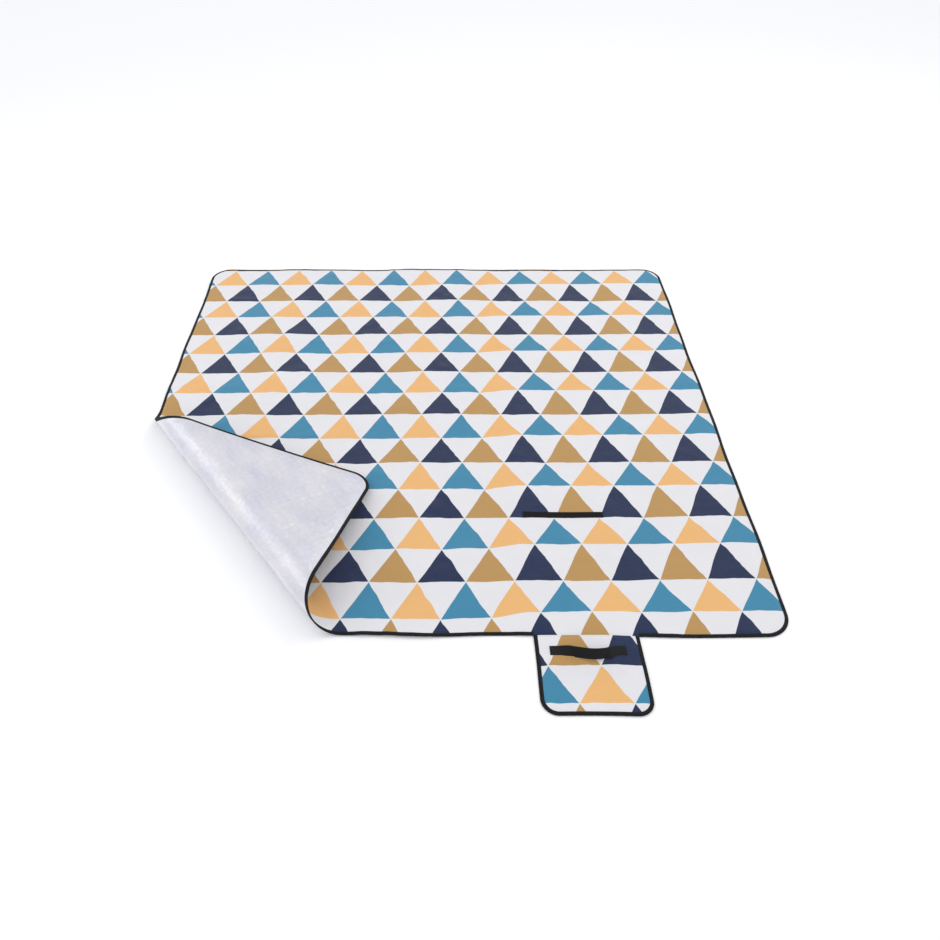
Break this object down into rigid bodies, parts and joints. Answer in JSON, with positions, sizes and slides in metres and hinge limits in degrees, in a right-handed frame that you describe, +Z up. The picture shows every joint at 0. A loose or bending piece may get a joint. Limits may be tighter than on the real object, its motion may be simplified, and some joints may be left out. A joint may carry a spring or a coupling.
{
  "type": "camp blanket",
  "caption": "Large square padded ground blanket with a printed top, foil-faced underside, one corner rolled over, and a wrap-round flap with a webbing handle.",
  "frame": {"origin": "middle of the square mat on the ground, at the underside of the backing", "axes": "+X to the right along the width, +Y to the back, away from the flap, +Z up"},
  "size_m": [2.0004, 2.245, 0.125],
  "materials": {
    "printed_fleece": "brushed fleece printed with blue, navy, orange and tan triangles on white",
    "wadding": "white fibre wadding",
    "foil_backing": "silver foil facing on thin foam, finely crinkled",
    "binding_tape": "black woven edge tape",
    "thread": "black sewing thread",
    "loop_fabric": "black loop pile tape",
    "hook_fabric": "black hook tape",
    "webbing": "black woven webbing"
  },
  "bodies": {
    "mat": {"mat_cover": "printed_fleece", "mat_wadding": "wadding", "mat_backing": "foil_backing", "mat_binding": "binding_tape", "mat_stitching": "thread"},
    "bend_1": {"bend_1_cover": "printed_fleece", "bend_1_wadding": "wadding", "bend_1_backing": "foil_backing", "bend_1_binding": "binding_tape"},
    "bend_2": {"bend_2_cover": "printed_fleece", "bend_2_wadding": "wadding", "bend_2_backing": "foil_backing", "bend_2_binding": "binding_tape"},
    "bend_3": {"bend_3_cover": "printed_fleece", "bend_3_wadding": "wadding", "bend_3_backing": "foil_backing", "bend_3_binding": "binding_tape"},
    "corner": {"corner_cover": "printed_fleece", "corner_wadding": "wadding", "corner_backing": "foil_backing", "corner_binding": "binding_tape", "corner_stitching": "thread"},
    "panel_inner": {"inner_cover": "printed_fleece", "inner_wadding": "wadding", "inner_backing": "foil_backing", "inner_binding": "binding_tape", "inner_stitching": "thread", "loop_strip": "loop_fabric"},
    "panel_outer": {"outer_cover": "printed_fleece", "outer_wadding": "wadding", "outer_backing": "foil_backing", "outer_binding": "binding_tape", "outer_stitching": "thread"},
    "flap": {"flap_cover": "printed_fleece", "flap_wadding": "wadding", "flap_backing": "foil_backing", "flap_binding": "binding_tape", "flap_stitching": "thread", "hook_strip": "hook_fabric", "handle_end_left": "webbing", "handle_end_right": "webbing", "tab_stitching": "thread"},
    "handle": {"handle_web": "webbing"}
  },
  "joints": [
    {"name": "corner_lift", "type": "hinge", "parent": "mat", "child": "bend_1", "pos_m": [-1.02028, -0.01023, 0.00612], "axis": [-0.6006, 0.7995, 0], "range_deg": [-48.44, 0]},
    {"name": "corner_roll_2", "type": "hinge", "parent": "bend_1", "child": "bend_2", "pos_m": [-1.04719, -0.03045, 0.04408], "axis": [-0.6006, 0.7995, 0], "range_deg": [-48.44, 0]},
    {"name": "corner_roll_3", "type": "hinge", "parent": "bend_2", "child": "bend_3", "pos_m": [-1.04232, -0.02679, 0.09444], "axis": [-0.6006, 0.7995, 0], "range_deg": [-48.44, 0]},
    {"name": "corner_roll_4", "type": "hinge", "parent": "bend_3", "child": "corner", "pos_m": [-1.00896, -0.00173, 0.1233], "axis": [-0.6006, 0.7995, 0], "range_deg": [-48.44, 0]},
    {"name": "crease_inner", "type": "hinge", "parent": "mat", "child": "panel_inner", "pos_m": [0.2, 0, 0.00925], "axis": [0, -1, 0], "range_deg": [0, 160]},
    {"name": "crease_outer", "type": "hinge", "parent": "panel_inner", "child": "panel_outer", "pos_m": [0.6, 0, 0.00625], "axis": [0, -1, 0], "range_deg": [0, 180]},
    {"name": "flap_fold", "type": "hinge", "parent": "panel_inner", "child": "flap", "pos_m": [0.424, -1.0003, 0.0053], "axis": [1, 0, 0], "range_deg": [-145, 0]},
    {"name": "handle_swing", "type": "hinge", "parent": "flap", "child": "handle", "pos_m": [0.424, -1.052, 0.0059], "axis": [-1, 0, 0], "range_deg": [0, 100]}
  ],
  "couplings": [
    {"joint": "corner_roll_2", "follows": "corner_lift", "ratio": 1},
    {"joint": "corner_roll_3", "follows": "corner_lift", "ratio": 1},
    {"joint": "corner_roll_4", "follows": "corner_lift", "ratio": 1}
  ]
}
